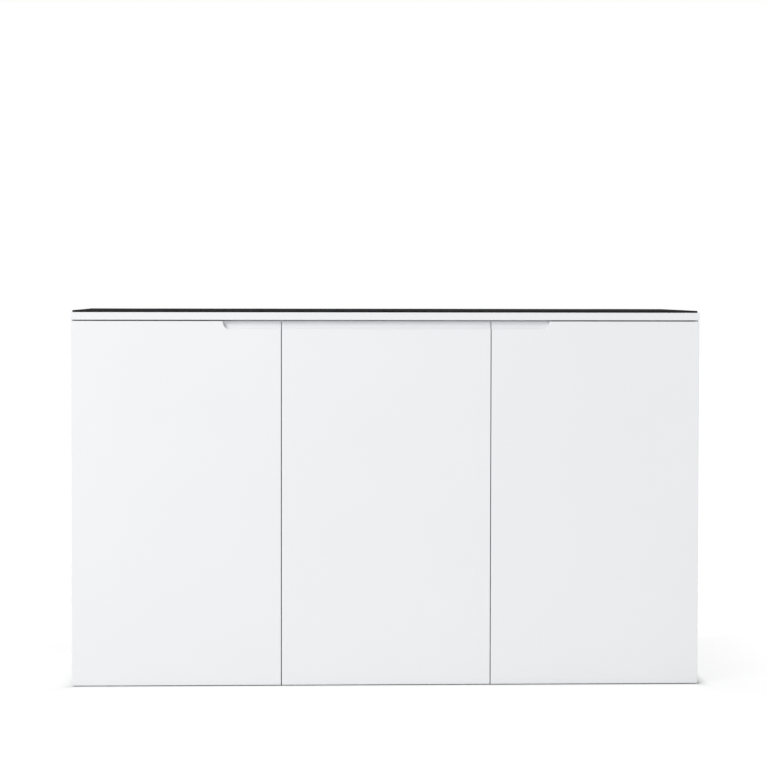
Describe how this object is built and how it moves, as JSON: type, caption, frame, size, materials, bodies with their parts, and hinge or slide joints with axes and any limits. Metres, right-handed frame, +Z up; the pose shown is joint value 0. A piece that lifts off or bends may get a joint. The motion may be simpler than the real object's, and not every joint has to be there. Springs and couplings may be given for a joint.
{
  "type": "aquarium stand cabinet",
  "caption": "Floor-standing white cabinet that carries a large aquarium and hides its sump and equipment behind flush doors with routed finger pulls.",
  "frame": {"origin": "on the floor, at the middle of the cabinet's footprint", "axes": "+X along the width towards the single-door bay, +Y towards the back, +Z up"},
  "size_m": [1.5, 0.6, 0.897],
  "materials": {
    "white_lacquer": "satin lacquered MDF",
    "white_melamine": "melamine-faced board",
    "foam": "closed-cell foam",
    "nickel": "nickel-plated steel",
    "zinc": "zinc-plated steel",
    "magnet": "nickel-coated magnet",
    "black_plastic": "moulded, fine grain",
    "white_plastic": "moulded",
    "clear_bumper": "clear soft",
    "beech": "planed beech"
  },
  "bodies": {
    "carcass": {"top_panel": "white_lacquer", "levelling_mat": "foam", "left_side_panel": "white_lacquer", "right_side_panel": "white_lacquer", "divider_panel": "white_melamine", "base_panel": "white_melamine", "front_plinth_rail": "white_melamine", "rear_plinth_rail": "white_melamine", "plinth_bearers": "white_melamine", "front_top_rail_left": "white_melamine", "front_top_rail_right": "white_melamine", "rear_top_rail_left": "white_melamine", "rear_top_rail_right": "white_melamine", "left_back_panel": "white_melamine", "right_back_panel": "white_melamine", "panel_dowels": "beech", "cam_locks": "zinc", "cam_bolts": "zinc", "divider_grommet": "black_plastic", "back_grommet": "black_plastic", "equipment_shelf": "white_melamine", "shelf_pins": "nickel", "foot_blocks": "beech", "foot_inserts": "zinc", "key_hole_caps": "white_plastic", "magnets": "magnet", "hinge_plate_screws": "nickel", "left_hinge_plates": "nickel", "left_hinge_arms": "nickel", "middle_hinge_plates": "nickel", "middle_hinge_arms": "nickel", "right_hinge_plates": "nickel", "right_hinge_arms": "nickel"},
    "left_door_leaf": {"left_door": "white_lacquer", "left_hinge_cups": "nickel", "left_cup_screws": "nickel", "left_strike_disc": "zinc", "left_bumpers": "clear_bumper"},
    "left_links": {"left_hinge_links": "nickel"},
    "middle_door_leaf": {"middle_door": "white_lacquer", "middle_hinge_cups": "nickel", "middle_cup_screws": "nickel", "middle_strike_disc": "zinc", "middle_bumpers": "clear_bumper"},
    "middle_links": {"middle_hinge_links": "nickel"},
    "right_door_leaf": {"right_door": "white_lacquer", "right_hinge_cups": "nickel", "right_cup_screws": "nickel", "right_strike_disc": "zinc", "right_bumpers": "clear_bumper"},
    "right_links": {"right_hinge_links": "nickel"},
    "front_foot_1": {"front_foot_1": "black_plastic"},
    "front_foot_2": {"front_foot_2": "black_plastic"},
    "front_foot_3": {"front_foot_3": "black_plastic"},
    "front_foot_4": {"front_foot_4": "black_plastic"},
    "rear_foot_1": {"rear_foot_1": "black_plastic"},
    "rear_foot_2": {"rear_foot_2": "black_plastic"},
    "rear_foot_3": {"rear_foot_3": "black_plastic"},
    "rear_foot_4": {"rear_foot_4": "black_plastic"}
  },
  "joints": [
    {"name": "left_door_swing", "type": "hinge", "parent": "carcass", "child": "left_door_leaf", "pos_m": [-0.749, -0.3, 0.44], "axis": [0, 0, -1], "range_deg": [0, 100]},
    {"name": "left_link_swing", "type": "hinge", "parent": "carcass", "child": "left_links", "pos_m": [-0.724, -0.2885, 0.44], "axis": [0, 0, 1], "range_deg": [0, 130]},
    {"name": "middle_door_swing", "type": "hinge", "parent": "carcass", "child": "middle_door_leaf", "pos_m": [0.249, -0.3, 0.44], "axis": [0, 0, 1], "range_deg": [0, 100]},
    {"name": "middle_link_swing", "type": "hinge", "parent": "carcass", "child": "middle_links", "pos_m": [0.224, -0.2885, 0.44], "axis": [0, 0, -1], "range_deg": [0, 130]},
    {"name": "right_door_swing", "type": "hinge", "parent": "carcass", "child": "right_door_leaf", "pos_m": [0.749, -0.3, 0.44], "axis": [0, 0, 1], "range_deg": [0, 100]},
    {"name": "right_link_swing", "type": "hinge", "parent": "carcass", "child": "right_links", "pos_m": [0.724, -0.2885, 0.44], "axis": [0, 0, -1], "range_deg": [0, 130]},
    {"name": "front_foot_1_height", "type": "slide", "parent": "carcass", "child": "front_foot_1", "axis": [0, 0, -1], "range_m": [-0.004, 0.012]},
    {"name": "front_foot_2_height", "type": "slide", "parent": "carcass", "child": "front_foot_2", "axis": [0, 0, -1], "range_m": [-0.004, 0.012]},
    {"name": "front_foot_3_height", "type": "slide", "parent": "carcass", "child": "front_foot_3", "axis": [0, 0, -1], "range_m": [-0.004, 0.012]},
    {"name": "front_foot_4_height", "type": "slide", "parent": "carcass", "child": "front_foot_4", "axis": [0, 0, -1], "range_m": [-0.004, 0.012]},
    {"name": "rear_foot_1_height", "type": "slide", "parent": "carcass", "child": "rear_foot_1", "axis": [0, 0, -1], "range_m": [-0.004, 0.012]},
    {"name": "rear_foot_2_height", "type": "slide", "parent": "carcass", "child": "rear_foot_2", "axis": [0, 0, -1], "range_m": [-0.004, 0.012]},
    {"name": "rear_foot_3_height", "type": "slide", "parent": "carcass", "child": "rear_foot_3", "axis": [0, 0, -1], "range_m": [-0.004, 0.012]},
    {"name": "rear_foot_4_height", "type": "slide", "parent": "carcass", "child": "rear_foot_4", "axis": [0, 0, -1], "range_m": [-0.004, 0.012]}
  ],
  "couplings": [
    {"joint": "left_link_swing", "follows": "left_door_swing", "ratio": 1.3},
    {"joint": "middle_link_swing", "follows": "middle_door_swing", "ratio": 1.3},
    {"joint": "right_link_swing", "follows": "right_door_swing", "ratio": 1.3}
  ]
}
